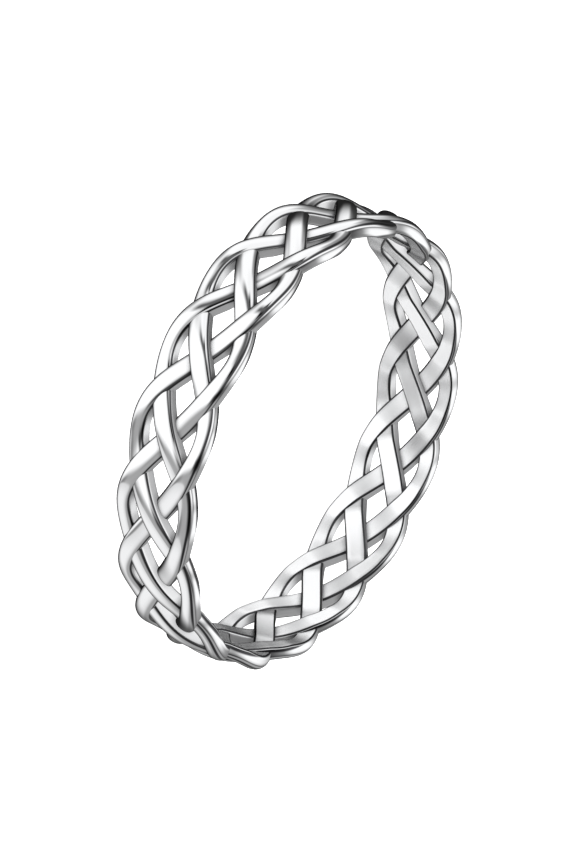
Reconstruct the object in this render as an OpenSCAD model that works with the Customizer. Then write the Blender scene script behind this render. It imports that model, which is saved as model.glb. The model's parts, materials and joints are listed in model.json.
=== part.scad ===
// Celtic knot ring: one round-topped silver strand plaited with itself into an open band,
// cast in one piece. It lies on its side, with the finger hole standing upright.
// Millimetres, +Z up, the origin on the floor in the middle of the finger hole.

/* [Ring] */
// Diameter of the finger hole
bore_d = 17.8; // [17:0.1:18.6]
// Width of the band along the finger
band_w = 3.66; // [3.3:0.02:4]
// Thickness of the band from the finger hole to the highest strand
band_t = 0.97; // [0.92:0.01:1.02]

/* [Plait] */
// Scallops along each edge of the band
bights = 17; // [15:2:19]
// Width of the strand at the top of a scallop
bight_w = 0.66; // [0.58:0.02:0.72]
// Width of the strand at the side rows of crossings
side_w = 0.84; // [0.78:0.02:0.88]
// Width of the strand at the middle row of crossings
cross_w = 0.88; // [0.82:0.02:0.92]
// Height of the strand from its flat inner side to its crown
strand_h = 0.68; // [0.66:0.01:0.68]
// Height of the rounded crown on the strand's two side walls
crown_h = 0.27; // [0.2:0.01:0.3]
// How far a strand rises or dips at a middle crossing
lift_mid = 0.2; // [0.18:0.002:0.22]
// How far a strand rises or dips at a side crossing
lift_side = 0.072; // [0.06:0.002:0.1]

/* [Fineness] */
// Steps along one wave of the strand
wave_steps = 20; // [16:1:22]
// Flats round the crown
crown_flats = 6; // [4:1:7]

/* [Hidden] */

// Strands abreast, and so the turns that the one endless strand makes round the ring
leads = 4;
bore_r = bore_d / 2;
outer_r = bore_r + band_t;

// Radius that the middle of the strand's height waves about, and the reach of that wave up the band
strand_r = outer_r - lift_mid - strand_h / 2;
wave_a = (band_w - bight_w) / 2;

// Each lead makes this many waves in one turn
waves = bights / leads;
// A lead starts between two crossings, where no other lead touches its cut end
start_phase = 22.5;
start_angle = start_phase / waves;
lead_steps = round(wave_steps * waves);

// Parts of the rise and dip that repeat three times and once in a wave
lift_3 = (lift_mid + sqrt(2) * lift_side) / 2;
lift_1 = (lift_mid - sqrt(2) * lift_side) / 2;

silver = [0.86, 0.87, 0.88];

// Place of the strand's middle for the wave's phase, in degrees
function strand_z(phase) = wave_a * cos(phase);
function strand_radius(phase) = strand_r + lift_3 * sin(3 * phase) - lift_1 * sin(phase);

// Angle between the strand and the way round the ring
function strand_slope(phase) = atan(-wave_a * waves * sin(phase) / strand_r);

// The strand is broad at the crossings and slim along the scallops
function strand_width(phase) =
    (bight_w + cross_w + 2 * side_w) / 4
    + (bight_w - cross_w) / 2 * cos(2 * phase)
    + (bight_w + cross_w - 2 * side_w) / 4 * cos(4 * phase);

// Section as [share of half the width, height above the flat inner side]
wall_h = strand_h - crown_h;
section = concat(
    [[-1, 0], [1, 0]],
    [for (i = [0:crown_flats])
        let (a = 180 * i / crown_flats)
        [cos(a), wall_h + crown_h * sin(a)]]
);
corners = len(section);

// One corner of the section, turned square to the strand and laid on the ring's curve
function section_point(corner, phase, angle) =
    let (
        half = strand_width(phase) / 2 * corner[0],
        slope = strand_slope(phase),
        r = strand_radius(phase) - strand_h / 2 + corner[1],
        a = angle - sin(slope) * half / strand_r * 180 / PI
    )
    [r * cos(a), r * sin(a), strand_z(phase) + cos(slope) * half];

// One turn of the strand, from its start angle round to the same angle
module lead(number) {
    points = [
        for (step = [0:lead_steps])
            let (
                turned = 360 * step / lead_steps,
                phase = start_phase + turned * waves + 90 * number
            )
            for (corner = section)
                section_point(corner, phase, start_angle + turned)
    ];
    first_end = [for (c = [0:corners - 1]) c];
    last_end = [for (c = [corners - 1:-1:0]) lead_steps * corners + c];
    sides = [
        for (step = [0:lead_steps - 1], c = [0:corners - 1])
            let (
                a = step * corners + c,
                b = step * corners + (c + 1) % corners
            )
            each [[a, a + corners, b], [b, a + corners, b + corners]]
    ];
    polyhedron(points = points, faces = concat([first_end], sides, [last_end]), convexity = 10);
}

// The whole plait, stretched to the exact width of the band and stood on the floor
module plait() {
    translate([0, 0, band_w / 2])
        resize([0, 0, band_w])
            for (number = [0:leads - 1])
                lead(number);
}

// The plait with the finger hole bored through its inner flats
module woven_band() {
    color(silver)
        difference() {
            plait();
            translate([0, 0, -1])
                cylinder(r = bore_r, h = band_w + 2, $fn = 180);
        }
}

woven_band();
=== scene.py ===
import json
import math

import bpy
import numpy as np
from mathutils import Matrix, Vector


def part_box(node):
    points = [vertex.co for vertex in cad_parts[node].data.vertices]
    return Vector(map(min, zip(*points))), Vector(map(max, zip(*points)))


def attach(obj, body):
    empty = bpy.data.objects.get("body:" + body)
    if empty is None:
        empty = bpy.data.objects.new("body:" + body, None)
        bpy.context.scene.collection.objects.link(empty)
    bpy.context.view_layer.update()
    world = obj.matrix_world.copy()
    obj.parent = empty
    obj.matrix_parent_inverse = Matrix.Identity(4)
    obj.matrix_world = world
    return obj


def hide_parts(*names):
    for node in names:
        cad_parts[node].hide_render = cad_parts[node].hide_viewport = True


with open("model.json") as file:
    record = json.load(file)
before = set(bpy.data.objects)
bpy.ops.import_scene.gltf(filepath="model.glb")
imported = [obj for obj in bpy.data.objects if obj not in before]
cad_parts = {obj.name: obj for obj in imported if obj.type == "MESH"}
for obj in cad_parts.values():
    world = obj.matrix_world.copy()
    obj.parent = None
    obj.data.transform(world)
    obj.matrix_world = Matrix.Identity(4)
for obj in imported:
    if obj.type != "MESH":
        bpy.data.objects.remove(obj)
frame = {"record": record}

bl_info = {
    "name": "Knot Ring Maker",
    "version": (1, 0, 0),
    "blender": (4, 5, 0),
    "location": "View3D > Sidebar > Knot Ring",
    "description": "Plaits, polishes and stages an openwork band ring",
    "category": "Object",
}

MM = 0.001
BAND_NODE = "woven_band"
CAD_LOW, CAD_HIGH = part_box(BAND_NODE)
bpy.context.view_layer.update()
BAND_WIDTH = CAD_HIGH.z - CAD_LOW.z
MIDDLE_Z = (CAD_LOW.z + CAD_HIGH.z) / 2
BORE_RADIUS = frame["record"]["mounts"][0]["dims"]["r_mm"] * MM

# Strands abreast, and so the turns that the one endless strand makes round the ring
LEADS = 4
# Steps round the strand's closed section, and the first and last step of each stretch of it
STEPS_AROUND = 42
SECTION = {
    "inner flat": (0, 4),
    "right corner": (4, 8),
    "right wall": (8, 11),
    "crown": (11, 35),
    "left wall": (35, 38),
    "left corner": (38, 42),
}
# Points of neighbouring waves that are closer than this are one point
MERGE_DISTANCE = 0.001 * MM
# Edges that bend by more than this stay sharp
CREASE_ANGLE = math.radians(30)

# The masks of the strand's faces. A face that looks straight out of the ring has the value 1, one
# that looks along the band 0, and one that looks at the finger -1. A mask is full between its two
# middle values and gone at its outer ones.
WALL_FACING = (-0.32, -0.1, 0.1, 0.32)
# Between these facings the crown's shoulder gets a painted dark reflection line
SHOULDER_FACING = (0.30, 0.44, 0.62, 0.78)
# Along the band's edges there are two painted dark reflection lines: one higher up the crown, and a
# fainter one at the wall
EDGE_SHOULDER_FACING = (0.46, 0.58, 0.78, 0.90)
EDGE_WALL_LINE_FACING = (0.0, 0.06, 0.16, 0.26)
EDGE_WALL_LINE_DEPTH = 0.7
# These two count from the finger: a face that looks at it has the value 1. Between the corner
# facings the inner corners get a painted dark reflection line.
CORNER_FACING = (0.32, 0.48, 0.955, 0.9995)
INNER_FACING = (0.9, 0.98)
# Heights off the band's middle between which a wall that looks away from it becomes the band's edge
EDGE_HEIGHTS = (0.6 * MM, 1.1 * MM)
# The foot of a wall gets a painted dark reflection line up to the first radius and is clear from
# the second. Along the band's edges it reaches further up by the rise.
FOOT_RADII = (BORE_RADIUS + 0.05 * MM, BORE_RADIUS + 0.13 * MM)
EDGE_FOOT_RISE = 0.12 * MM

# How much painted shade each mask lays on the silver: a faint painted shade on the walls, and
# painted dark reflection lines at the corners and shoulders
PAINTED_SHADE_DEPTHS = {"Wall": 0.04, "Corner": 0.97, "Shoulder": 0.97}
# Colour that the painted shade and the painted dark reflection lines darken the silver to
PAINTED_SHADE_SILVER = (0.03, 0.03, 0.033, 1)
# Painted shade in the hollows between strands: a hollow is closed in by strands within this reach.
# Between the two shares of open directions the painted shade goes from dark to clear.
RECESS_REACH = 0.35 * MM
RECESS_OPENNESS = (0.35, 0.95)
RECESS_SAMPLES = 8
# The walls take this much less of the painted shade in the hollows
WALL_RELIEF = 0.6
# Share of the inner flats' shine that the haze takes
HAZE = 0.2

# Polishing marks: how fine the ripple and the drawn lines are, how strong the lines are next to the
# ripple, and how much both change the finish
RIPPLE_SCALE = 1800.0
LINES_SCALE = 9000.0
LINES_STRETCH = (1, 1, 6)
LINES_SHARE = 0.5
NOISE_DETAIL = 2.0
NOISE_MEAN = 0.5
MARKS_ROUGHNESS = 0.04
MARKS_BUMP = 0.04
MARKS_HEIGHT = 0.01 * MM

# The floor and the lamp over it, in metres and watts
FLOOR_SIZE = 4
FLOOR_ROUGHNESS = 0.9
FLOOR_GLOW = 1
LAMP_PLACE = (0, 0, 1.5)
LAMP_SIZE = 2
LAMP_WATTS = 12

# Soft boxes and cards of the studio, from the back to the front: name, middle, half size and soft
# edge on a silver ball of radius 1 that stands in the ring's place, as the camera sees it, then
# turn in degrees and tone
STUDIO = (
    ("room", (0.0, 0.0), (2.0, 2.0), (0.1, 0.1), 0, 166),
    ("right wall", (0.38, 0.16), (0.24, 0.34), (0.10, 0.12), 0, 258),
    ("left wall", (-0.46, 0.20), (0.44, 0.42), (0.16, 0.14), -10, 268),
    ("left end", (-0.95, 0.26), (0.14, 0.34), (0.10, 0.14), -18, 135),
    ("upper end", (-0.62, 0.62), (0.28, 0.08), (0.16, 0.08), 42, 140),
    ("top light", (0.02, 0.68), (0.30, 0.25), (0.10, 0.10), 0, 262),
    ("top light arm", (0.22, 0.56), (0.22, 0.10), (0.08, 0.06), -20, 255),
    ("grey strip", (-0.36, -0.27), (0.56, 0.10), (0.20, 0.09), -20, 168),
    ("dark end", (-0.74, -0.15), (0.13, 0.07), (0.10, 0.05), -20, 125),
    ("lower card", (-0.70, -0.55), (0.50, 0.31), (0.14, 0.02), -35, 215),
    ("lower glow", (-0.62, -0.50), (0.34, 0.17), (0.20, 0.12), -35, 248),
    ("right light", (0.66, -0.04), (0.19, 0.13), (0.05, 0.06), 12, 262),
    ("camera shade", (0.12, 0.28), (0.09, 0.20), (0.03, 0.05), 10, 20),
    ("shade arm", (0.04, 0.38), (0.30, 0.06), (0.10, 0.05), -34, 100),
    ("dark corner", (0.22, -0.30), (0.42, 0.10), (0.12, 0.07), -18, 70),
    ("edge light", (0.80, -0.30), (0.12, 0.11), (0.05, 0.05), 20, 262),
    ("right dark", (0.88, 0.30), (0.06, 0.38), (0.05, 0.08), 20, 110),
    ("upper dark", (0.60, 0.74), (0.10, 0.30), (0.08, 0.08), 46, 80),
    ("upper rim", (-0.30, 0.90), (0.34, 0.05), (0.14, 0.05), 18, 70),
)
# Dark cards stand behind the ring, round the silver ball's rim: their tone, the radii where they
# start and are full, and how much further in they reach at the left and above
RIM_TONE = 35
RIM_RADII = (0.86, 1.01)
RIM_LEAN = (-0.05, 0.04, 0)

# The focal length is that of a frame this wide, in millimetres
FRAME_WIDTH = 36
# The picture's middle lies this far from the ring's, as a share of the picture's longer side
CAMERA_SHIFT = -4.057 / 864
CAMERA_CLIP = 0.01


class KnotRingSizes(bpy.types.PropertyGroup):
    """Sizes of the plaited band"""
    bights: bpy.props.IntProperty(
        name="Scallops", description="Scallops along each edge of the band",
        default=17, min=5, max=41)
    bore_radius: bpy.props.FloatProperty(
        name="Finger hole radius", description="Radius of the finger hole",
        default=BORE_RADIUS, unit="LENGTH", precision=5)
    band_width: bpy.props.FloatProperty(
        name="Band width", description="Width of the band along the finger",
        default=BAND_WIDTH, unit="LENGTH", precision=5)
    band_thickness: bpy.props.FloatProperty(
        name="Band thickness",
        description="Thickness of the band from the finger hole to the highest strand",
        default=0.97 * MM, unit="LENGTH", precision=5)
    bight_width: bpy.props.FloatProperty(
        name="Strand at scallops", description="Width of the strand at the top of a scallop",
        default=0.66 * MM, unit="LENGTH", precision=5)
    side_width: bpy.props.FloatProperty(
        name="Strand at side crossings",
        description="Width of the strand at the side rows of crossings",
        default=0.84 * MM, unit="LENGTH", precision=5)
    cross_width: bpy.props.FloatProperty(
        name="Strand at middle crossings",
        description="Width of the strand at the middle row of crossings",
        default=0.88 * MM, unit="LENGTH", precision=5)
    strand_height: bpy.props.FloatProperty(
        name="Strand height",
        description="Height of the strand from its flat inner side to its crown",
        default=0.68 * MM, unit="LENGTH", precision=5)
    crown_height: bpy.props.FloatProperty(
        name="Crown height", description="Height of the rounded crown on the two side walls",
        default=0.27 * MM, unit="LENGTH", precision=5)
    crown_fullness: bpy.props.FloatProperty(
        name="Crown fullness",
        description="2 makes the crown an ellipse, more makes its shoulders tighter",
        default=2.2, min=2.0, max=4.0)
    edge_round: bpy.props.FloatProperty(
        name="Edge rounding",
        description="Rounding of the strand's inner corner where it lies on the band's edge",
        default=0.08 * MM, unit="LENGTH", precision=5)
    corner_round: bpy.props.FloatProperty(
        name="Corner rounding", description="Rounding of the strand's other inner corners",
        default=0.1 * MM, unit="LENGTH", precision=5)
    lift_mid: bpy.props.FloatProperty(
        name="Lift at middle crossings",
        description="How far a strand rises or dips at a middle crossing",
        default=0.2 * MM, unit="LENGTH", precision=6)
    lift_side: bpy.props.FloatProperty(
        name="Lift at side crossings",
        description="How far a strand rises or dips at a side crossing",
        default=0.072 * MM, unit="LENGTH", precision=6)
    wave_steps: bpy.props.IntProperty(
        name="Steps in a wave", description="Rows of faces along one wave of the strand",
        default=90, min=16, max=200)


class KnotRingLook(bpy.types.PropertyGroup):
    """Finish of the silver, its painted shade in the hollows, and colour of the floor"""
    silver: bpy.props.FloatVectorProperty(
        name="Silver", description="Colour that the polished silver reflects",
        subtype="COLOR", size=3, default=(0.93, 0.935, 0.945), min=0.0, max=1.0)
    crown_roughness: bpy.props.FloatProperty(
        name="Crown roughness", description="Roughness of the mirror polished crowns",
        default=0.03, min=0.0, max=1.0)
    inner_roughness: bpy.props.FloatProperty(
        name="Inner roughness", description="Roughness of the flat inner faces",
        default=0.24, min=0.0, max=1.0)
    wall_roughness: bpy.props.FloatProperty(
        name="Wall roughness",
        description="Roughness of the side walls, where the polishing wheel hardly reaches",
        default=0.34, min=0.0, max=1.0)
    # Strength of the painted shade in the corners between strands
    recess_shade: bpy.props.FloatProperty(
        name="Painted recess shade",
        description="How dark the silver gets in the corners between strands",
        default=0.95, min=0.0, max=1.0)
    floor: bpy.props.FloatVectorProperty(
        name="Floor", description="Colour of the floor",
        subtype="COLOR", size=3, default=(0.95, 0.95, 0.95), min=0.0, max=1.0)


class KnotRingView(bpy.types.PropertyGroup):
    """Place of the camera"""
    azimuth: bpy.props.FloatProperty(
        name="Azimuth", description="Way from the ring to the camera, seen from above",
        default=math.radians(-97.015), subtype="ANGLE")
    elevation: bpy.props.FloatProperty(
        name="Elevation", description="Height of the camera's line above the floor",
        default=math.radians(28.897), subtype="ANGLE")
    roll: bpy.props.FloatProperty(
        name="Roll", description="Turn of the picture about the camera's line",
        default=math.radians(112.428), subtype="ANGLE")
    distance: bpy.props.FloatProperty(
        name="Distance", description="Way from the camera to the middle of the ring",
        default=304.15 * MM, unit="LENGTH", precision=5)
    lens: bpy.props.FloatProperty(
        name="Lens", description="Focal length on a 36 mm frame", default=310.8, unit="CAMERA")


def deselect_all():
    """Nothing is selected, so that an operator acts on the new piece alone."""
    if bpy.context.object and bpy.context.object.mode != "OBJECT":
        bpy.ops.object.mode_set(mode="OBJECT")
    bpy.ops.object.select_all(action="DESELECT")


def select_only(piece):
    deselect_all()
    piece.select_set(True)
    bpy.context.view_layer.objects.active = piece


def vertex_array(mesh):
    co = np.empty(len(mesh.vertices) * 3)
    mesh.vertices.foreach_get("co", co)
    return co.reshape(-1, 3)


class Strand:
    """The formulas of the one endless strand. A full turn of phase is one wave of it."""

    def __init__(self, sizes):
        self.sizes = sizes
        self.waves = sizes.bights / LEADS
        self.reach = (sizes.band_width - sizes.bight_width) / 2
        outer_radius = sizes.bore_radius + sizes.band_thickness
        self.radius = outer_radius - sizes.lift_mid - sizes.strand_height / 2
        root2 = math.sqrt(2)
        self.lift_3 = (sizes.lift_mid + root2 * sizes.lift_side) / 2
        self.lift_1 = (sizes.lift_mid - root2 * sizes.lift_side) / 2

    def middle_radius(self, phase):
        return self.radius + self.lift_3 * np.sin(3 * phase) - self.lift_1 * np.sin(phase)

    def width(self, phase):
        s = self.sizes
        return ((s.bight_width + s.cross_width + 2 * s.side_width) / 4
                + (s.bight_width - s.cross_width) / 2 * np.cos(2 * phase)
                + (s.bight_width + s.cross_width - 2 * s.side_width) / 4 * np.cos(4 * phase))

    def place(self, phase, side, height):
        """Points at a share of half the width and a height over the flat inner side."""
        slope = np.arctan(-self.reach * self.waves * np.sin(phase) / self.radius)
        half = self.width(phase) / 2 * side
        r = self.middle_radius(phase) - self.sizes.strand_height / 2 + height
        angle = phase / self.waves - np.sin(slope) * half / self.radius
        z = self.sizes.band_width / 2 + self.reach * np.cos(phase) + np.cos(slope) * half
        return np.stack([r * np.cos(angle), r * np.sin(angle), z], -1)

    def rounding(self, outward):
        """Radius of the inner corner on a side that looks off the band's edge at 1."""
        s = self.sizes
        return s.corner_round + (s.edge_round - s.corner_round) * np.clip(outward, 0, 1) ** 2

    def section(self, phase, share):
        """Side and height of the point at a share of the way round the closed section."""
        s = self.sizes
        wall = s.strand_height - s.crown_height
        # The finger hole cuts the flat where the strand dips
        low = np.maximum(0, s.bore_radius - (self.middle_radius(phase) - s.strand_height / 2))
        half = self.width(phase) / 2
        right = self.rounding(np.cos(phase))
        left = self.rounding(-np.cos(phase))
        side = np.zeros_like(phase)
        height = np.zeros_like(phase)
        for stretch, steps in SECTION.items():
            start, end = (step / STEPS_AROUND for step in steps)
            t = np.clip((share - start) / (end - start), 0, 1)
            turn = t * math.pi / 2
            if stretch == "inner flat":
                x = -half + left + (2 * half - left - right) * t
                y = low
            elif stretch == "right corner":
                x = half - right + right * np.sin(turn)
                y = low + right * (1 - np.cos(turn))
            elif stretch == "right wall":
                x = half
                y = low + right + (wall - low - right) * t
            elif stretch == "crown":
                across, up = np.cos(t * math.pi), np.sin(t * math.pi)
                power = 2 / s.crown_fullness
                x = half * np.sign(across) * np.abs(across) ** power
                y = wall + s.crown_height * np.abs(up) ** power
            elif stretch == "left wall":
                x = -half
                y = wall + (low + left - wall) * t
            else:
                x = -half + left - left * np.cos(turn)
                y = low + left * (1 - np.sin(turn))
            inside = (share >= start) & (share <= end)
            side = np.where(inside, x / half, side)
            height = np.where(inside, y, height)
        return side, height


def make_wave(strand, steps):
    """One wave of the strand: a sheet, rolled up into a bar that runs up and down the band."""
    deselect_all()
    bpy.ops.mesh.primitive_grid_add(x_subdivisions=steps, y_subdivisions=STEPS_AROUND, size=1)
    wave = bpy.context.object
    co = vertex_array(wave.data)
    phase = (co[:, 0] + 0.5) * 2 * math.pi
    side, height = strand.section(phase, co[:, 1] + 0.5)
    wave.data.vertices.foreach_set("co", strand.place(phase, side, height).ravel())
    wave.data.update()
    return wave


def repeat_round(piece, count, turn):
    """Copies the piece round the ring, each a turn further on, and joins them end to end."""
    bpy.ops.object.empty_add(rotation=(0, 0, turn))
    guide = bpy.context.object
    select_only(piece)
    array = piece.modifiers.new("Round the ring", "ARRAY")
    array.count = count
    array.use_relative_offset = False
    array.use_object_offset = True
    array.offset_object = guide
    bpy.ops.object.modifier_apply(modifier=array.name)
    bpy.data.objects.remove(guide)
    bpy.ops.object.mode_set(mode="EDIT")
    bpy.ops.mesh.select_all(action="SELECT")
    bpy.ops.mesh.remove_doubles(threshold=MERGE_DISTANCE)
    bpy.ops.mesh.normals_make_consistent(inside=False)
    bpy.ops.object.mode_set(mode="OBJECT")


class KNOTRING_OT_woven_band(bpy.types.Operator):
    """Plaits the strand into the band and fuses its crossings"""
    bl_idname = "knotring.woven_band"
    bl_label = "Woven Band"

    def execute(self, context):
        sizes = context.scene.knot_ring_sizes
        band = make_wave(Strand(sizes), sizes.wave_steps)
        band.name = "plaited_strand"
        repeat_round(band, sizes.bights, 2 * math.pi * LEADS / sizes.bights)
        bpy.ops.object.mode_set(mode="EDIT")
        bpy.ops.mesh.select_all(action="SELECT")
        bpy.ops.mesh.intersect_boolean(operation="UNION", use_self=True, solver="EXACT")
        bpy.ops.object.mode_set(mode="OBJECT")
        bpy.ops.object.shade_smooth_by_angle(angle=CREASE_ANGLE)
        band.data.materials.append(polished_silver(context.scene.knot_ring_look))
        # A mirror this close to itself would show a busy, dark pattern
        band.visible_glossy = False
        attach(band, "root")
        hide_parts(BAND_NODE)
        return {"FINISHED"}


def join(tree, node_type, values=(), **settings):
    """Adds a node. Each value is a socket to link or a number, for the input at its place."""
    node = tree.nodes.new(node_type)
    for name, value in settings.items():
        setattr(node, name, value)
    for place, value in values:
        if isinstance(value, bpy.types.NodeSocket):
            tree.links.new(value, node.inputs[place])
        else:
            node.inputs[place].default_value = value
    return node


def calculate(tree, operation, *values):
    return join(tree, "ShaderNodeMath", enumerate(values), operation=operation).outputs[0]


def opposite(tree, share):
    return calculate(tree, "SUBTRACT", 1.0, share)


def calculate_vector(tree, operation, *values):
    """Works on vectors. A dot product and a length come out as a number."""
    node = join(tree, "ShaderNodeVectorMath", enumerate(values), operation=operation)
    return node.outputs["Value" if operation in ("DOT_PRODUCT", "LENGTH") else "Vector"]


def mix(tree, share, start, end):
    return join(tree, "ShaderNodeMix", [(0, share), (2, start), (3, end)]).outputs[0]


def step_between(tree, value, low, high):
    """Rises smoothly from 0 at the low value to 1 at the high one."""
    return join(tree, "ShaderNodeMapRange", [(0, value), (1, low), (2, high)],
                interpolation_type="SMOOTHSTEP").outputs[0]


def band_between(tree, value, start, full, fade, end):
    """Is 1 from the full value to the fade value, and falls to 0 at the start and the end."""
    return calculate(tree, "SUBTRACT", step_between(tree, value, start, full),
                     step_between(tree, value, fade, end))


def new_group(name, inputs, outputs):
    """Empty shader node group. Returns it with its inputs' sockets and its output node."""
    tree = bpy.data.node_groups.new(name, "ShaderNodeTree")
    for direction, sockets in (("INPUT", inputs), ("OUTPUT", outputs)):
        for label, kind in sockets:
            tree.interface.new_socket(label, in_out=direction, socket_type=kind)
    return tree, tree.nodes.new("NodeGroupInput").outputs, tree.nodes.new("NodeGroupOutput")


def strand_faces_group():
    """Masks of the strand's walls, flat inner faces, inner corners and crown shoulders.

    The wall mask also places a faint painted shade, the corner and shoulder masks painted dark
    reflection lines.
    """
    tree, given, finish = new_group(
        "Strand faces", [("Place", "NodeSocketVector"), ("Normal", "NodeSocketVector")],
        [(name, "NodeSocketFloat") for name in ("Wall", "Inner", "Corner", "Shoulder")])
    level = calculate_vector(tree, "MULTIPLY", given["Place"], (1, 1, 0))
    outward = calculate_vector(tree, "NORMALIZE", level)
    facing = calculate_vector(tree, "DOT_PRODUCT", given["Normal"], outward)
    inward = calculate(tree, "MULTIPLY", facing, -1.0)

    height = join(tree, "ShaderNodeSeparateXYZ", [(0, given["Place"])]).outputs["Z"]
    side = join(tree, "ShaderNodeSeparateXYZ", [(0, given["Normal"])]).outputs["Z"]
    off_middle = calculate(tree, "SUBTRACT", height, MIDDLE_Z)
    edge = step_between(tree, calculate(tree, "MULTIPLY", off_middle, side), *EDGE_HEIGHTS)

    # The walls along the band's edges are as bright as the crowns
    upright = band_between(tree, facing, *WALL_FACING)
    wall = calculate(tree, "MULTIPLY", upright, opposite(tree, edge))
    inner = step_between(tree, inward, *INNER_FACING)

    radius = calculate_vector(tree, "LENGTH", level)
    above = calculate(tree, "SUBTRACT", radius, calculate(tree, "MULTIPLY", edge, EDGE_FOOT_RISE))
    foot = opposite(tree, step_between(tree, above, *FOOT_RADII))
    corner = calculate(tree, "MAXIMUM", band_between(tree, inward, *CORNER_FACING),
                       calculate(tree, "MULTIPLY", foot, upright))

    wall_line = band_between(tree, facing, *EDGE_WALL_LINE_FACING)
    edge_lines = calculate(tree, "MAXIMUM", band_between(tree, facing, *EDGE_SHOULDER_FACING),
                           calculate(tree, "MULTIPLY", wall_line, EDGE_WALL_LINE_DEPTH))
    shoulder = mix(tree, edge, band_between(tree, facing, *SHOULDER_FACING), edge_lines)
    masks = {"Wall": wall, "Inner": inner, "Corner": corner, "Shoulder": shoulder}
    for name, value in masks.items():
        tree.links.new(value, finish.inputs[name])
    return tree


def polishing_marks_group():
    """Fine ripple and drawn lines that polishing leaves, as one value about 0."""
    tree, given, finish = new_group("Polishing marks", [("Place", "NodeSocketVector")],
                                    [("Marks", "NodeSocketFloat")])
    along = calculate_vector(tree, "MULTIPLY", given["Place"], LINES_STRETCH)
    ripple, lines = (
        join(tree, "ShaderNodeTexNoise", [(0, place), (2, scale), (3, NOISE_DETAIL)]).outputs[0]
        for place, scale in ((given["Place"], RIPPLE_SCALE), (along, LINES_SCALE)))
    both = calculate(tree, "ADD", ripple, calculate(tree, "MULTIPLY", lines, LINES_SHARE))
    mean = NOISE_MEAN * (1 + LINES_SHARE)
    tree.links.new(calculate(tree, "SUBTRACT", both, mean), finish.inputs["Marks"])
    return tree


def polished_silver(look):
    """Bright crowns, satin walls and hazy inner flats.

    Painted shade lies on the walls and in the hollows, and painted dark reflection lines at the
    corners and shoulders.
    """
    material = bpy.data.materials.new("Polished silver")
    material.use_nodes = True
    tree = material.node_tree
    shader = tree.nodes["Principled BSDF"]
    here = join(tree, "ShaderNodeTexCoord").outputs
    faces = join(tree, "ShaderNodeGroup", node_tree=strand_faces_group())
    tree.links.new(here["Object"], faces.inputs["Place"])
    tree.links.new(here["Normal"], faces.inputs["Normal"])
    faces = faces.outputs
    marks = join(tree, "ShaderNodeGroup", node_tree=polishing_marks_group())
    tree.links.new(here["Object"], marks.inputs["Place"])
    marks = marks.outputs["Marks"]

    # Painted shade in the hollows between strands, darker where ambient occlusion finds them closed
    # in
    around = join(tree, "ShaderNodeAmbientOcclusion", [("Distance", RECESS_REACH)],
                  samples=RECESS_SAMPLES, only_local=True)
    recess_shade = opposite(tree, step_between(tree, around.outputs["AO"], *RECESS_OPENNESS))
    depth = calculate(tree, "SUBTRACT", look.recess_shade,
                      calculate(tree, "MULTIPLY", faces["Wall"], WALL_RELIEF))
    bright = opposite(tree, calculate(tree, "MULTIPLY", recess_shade, depth))
    # Painted shade on the walls and painted dark reflection lines at the corners and shoulders
    for mask, mask_depth in PAINTED_SHADE_DEPTHS.items():
        kept = opposite(tree, calculate(tree, "MULTIPLY", faces[mask], mask_depth))
        bright = calculate(tree, "MULTIPLY", bright, kept)
    colour = join(tree, "ShaderNodeMix", [(0, opposite(tree, bright)), (6, (*look.silver, 1)),
                                          (7, PAINTED_SHADE_SILVER)], data_type="RGBA").outputs[2]

    rough = mix(tree, faces["Wall"], look.crown_roughness, look.wall_roughness)
    rough = mix(tree, faces["Inner"], rough, look.inner_roughness)
    rough = calculate(tree, "ADD", rough, calculate(tree, "MULTIPLY", marks, MARKS_ROUGHNESS))
    bump = join(tree, "ShaderNodeBump",
                [("Height", marks), ("Strength", MARKS_BUMP), ("Distance", MARKS_HEIGHT)])
    metal = opposite(tree, calculate(tree, "MULTIPLY", faces["Inner"], HAZE))
    tree.links.new(colour, shader.inputs["Base Color"])
    tree.links.new(rough, shader.inputs["Roughness"])
    tree.links.new(bump.outputs[0], shader.inputs["Normal"])
    tree.links.new(metal, shader.inputs["Metallic"])
    return material


class KNOTRING_OT_stage(bpy.types.Operator):
    """Sets the floor, the studio light and the camera"""
    bl_idname = "knotring.stage"
    bl_label = "Stage"

    def execute(self, context):
        scene = context.scene
        make_floor(scene.knot_ring_look)
        make_floor_light()
        make_surround(scene)
        make_camera(scene)
        scene.view_settings.view_transform = "Standard"
        return {"FINISHED"}


def make_floor(look):
    """White floor that gives off light of its own, so that the ring throws no shadow on it."""
    deselect_all()
    bpy.ops.mesh.primitive_plane_add(size=FLOOR_SIZE)
    floor = bpy.context.object
    floor.name = "floor"
    material = bpy.data.materials.new("Pale floor")
    material.use_nodes = True
    shader = material.node_tree.nodes["Principled BSDF"]
    shader.inputs["Base Color"].default_value = (*look.floor, 1)
    shader.inputs["Roughness"].default_value = FLOOR_ROUGHNESS
    shader.inputs["Emission Color"].default_value = (1, 1, 1, 1)
    shader.inputs["Emission Strength"].default_value = FLOOR_GLOW
    floor.data.materials.append(material)
    floor.visible_glossy = False


def make_floor_light():
    """Soft lamp over the ring, which shows in no reflection."""
    bpy.ops.object.light_add(type="AREA", location=LAMP_PLACE)
    light = bpy.context.object
    light.name = "floor light"
    light.data.size = LAMP_SIZE
    light.data.energy = LAMP_WATTS
    light.visible_glossy = False


def light_of(tone):
    """Light that shows as a grey tone from 0 to 255, by the curve of the sRGB standard."""
    share = tone / 255
    return share / 12.92 if share < 0.04045 else ((share + 0.055) / 1.055) ** 2.4


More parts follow.
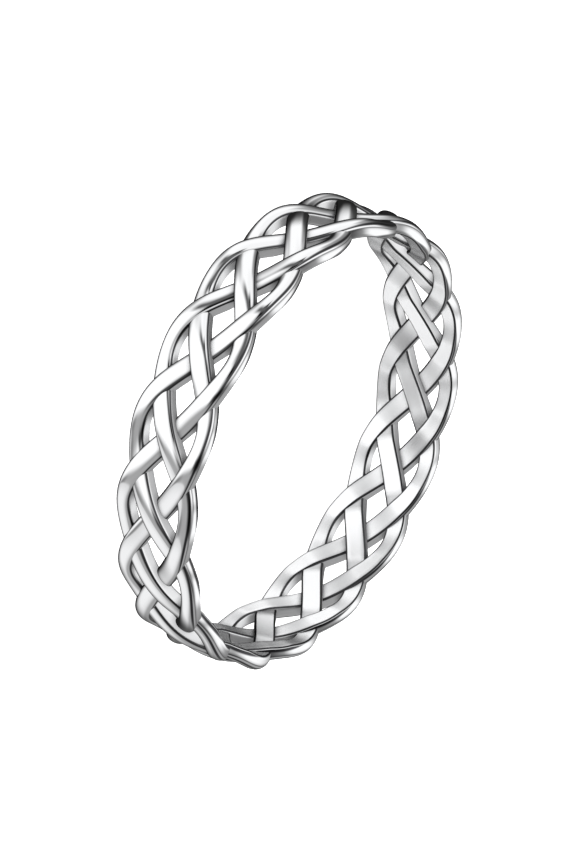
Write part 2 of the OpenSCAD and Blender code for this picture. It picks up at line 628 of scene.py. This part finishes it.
def soft_box_group():
    """Mask of one soft box or card, laid on the silver ball that shows the whole studio."""
    tree, given, finish = new_group(
        "Soft box",
        [("Place", "NodeSocketVector"), ("Middle", "NodeSocketVector"), ("Turn", "NodeSocketFloat"),
         ("Inner", "NodeSocketVector"), ("Outer", "NodeSocketVector")],
        [("Mask", "NodeSocketFloat")])
    turned = join(tree, "ShaderNodeVectorRotate",
                  [(0, given["Place"]), (1, given["Middle"]), (3, given["Turn"])],
                  rotation_type="Z_AXIS", invert=True).outputs[0]
    moved = calculate_vector(tree, "SUBTRACT", turned, given["Middle"])
    away = calculate_vector(tree, "ABSOLUTE", moved)
    inside = join(tree, "ShaderNodeMapRange",
                  [(6, away), (7, given["Inner"]), (8, given["Outer"]), (9, (1, 1, 1)),
                   (10, (0, 0, 0))],
                  data_type="FLOAT_VECTOR", interpolation_type="SMOOTHSTEP").outputs[1]
    split = join(tree, "ShaderNodeSeparateXYZ", [(0, inside)]).outputs
    mask = calculate(tree, "MULTIPLY", split[0], split[1])
    tree.links.new(mask, finish.inputs["Mask"])
    return tree


def make_surround(scene):
    """Studio round the ring, which stands still in the world, and plain white to the camera."""
    world = bpy.data.worlds.new("Studio")
    scene.world = world
    world.use_nodes = True
    tree = world.node_tree
    axes = view_axes(scene.knot_ring_view)
    right, up, back = axes.col
    # A ball reflects a direction where its surface faces halfway between it and the camera
    way = join(tree, "ShaderNodeTexCoord").outputs["Generated"]
    normal = calculate_vector(tree, "NORMALIZE", calculate_vector(tree, "ADD", way, back))
    across, upward = (calculate_vector(tree, "DOT_PRODUCT", normal, axis) for axis in (right, up))
    place = join(tree, "ShaderNodeCombineXYZ", [(0, across), (1, upward)]).outputs[0]
    group = soft_box_group()
    tone = 0.0
    for name, middle, half, edge, turn, brightness in STUDIO:
        inner = (half[0] - edge[0], half[1] - edge[1], 0)
        outer = (half[0] + edge[0], half[1] + edge[1], 1)
        values = (place, (*middle, 0), math.radians(turn), inner, outer)
        box = join(tree, "ShaderNodeGroup", enumerate(values), node_tree=group, label=name)
        tone = mix(tree, box.outputs["Mask"], tone, light_of(brightness))
    reach = calculate(tree, "ADD", calculate_vector(tree, "LENGTH", place),
                      calculate_vector(tree, "DOT_PRODUCT", place, RIM_LEAN))
    tone = mix(tree, step_between(tree, reach, *RIM_RADII), tone, light_of(RIM_TONE))
    ray = join(tree, "ShaderNodeLightPath").outputs["Is Camera Ray"]
    tree.links.new(mix(tree, ray, tone, 1.0), tree.nodes["Background"].inputs["Color"])


def view_axes(view):
    """Right, up and back of the picture as columns."""
    level = math.cos(view.elevation)
    back = Vector((level * math.cos(view.azimuth), level * math.sin(view.azimuth),
                   math.sin(view.elevation)))
    side = Vector((0, 0, 1)).cross(back).normalized()
    upright = Matrix((side, back.cross(side), back)).transposed()
    return upright @ Matrix.Rotation(view.roll, 3, "Z")


def make_camera(scene):
    view = scene.knot_ring_view
    middle = Vector((0, 0, MIDDLE_Z))
    axes = view_axes(view)
    bpy.ops.object.camera_add()
    camera = bpy.context.object
    camera.name = "camera"
    place = Matrix.Translation(middle + axes.col[2] * view.distance)
    camera.matrix_world = place @ axes.to_4x4()
    camera.data.lens = view.lens
    camera.data.sensor_width = FRAME_WIDTH
    camera.data.shift_x = CAMERA_SHIFT
    camera.data.clip_start = CAMERA_CLIP
    scene.camera = camera


class KNOTRING_PT_panel(bpy.types.Panel):
    """Lists the steps"""
    bl_label = "Knot Ring"
    bl_space_type = "VIEW_3D"
    bl_region_type = "UI"
    bl_category = "Knot Ring"

    def draw(self, context):
        for operator in OPERATORS:
            self.layout.operator(operator.bl_idname)


OPERATORS = (KNOTRING_OT_stage, KNOTRING_OT_woven_band)
GROUPS = {
    "knot_ring_sizes": KnotRingSizes,
    "knot_ring_look": KnotRingLook,
    "knot_ring_view": KnotRingView,
}
CLASSES = (*GROUPS.values(), *OPERATORS, KNOTRING_PT_panel)


def register():
    for cls in CLASSES:
        bpy.utils.register_class(cls)
    for name, group in GROUPS.items():
        setattr(bpy.types.Scene, name, bpy.props.PointerProperty(type=group))


def unregister():
    for name in GROUPS:
        delattr(bpy.types.Scene, name)
    for cls in reversed(CLASSES):
        bpy.utils.unregister_class(cls)


def main():
    register()
    bpy.ops.knotring.stage()
    bpy.ops.knotring.woven_band()


if __name__ == "__main__":
    main()
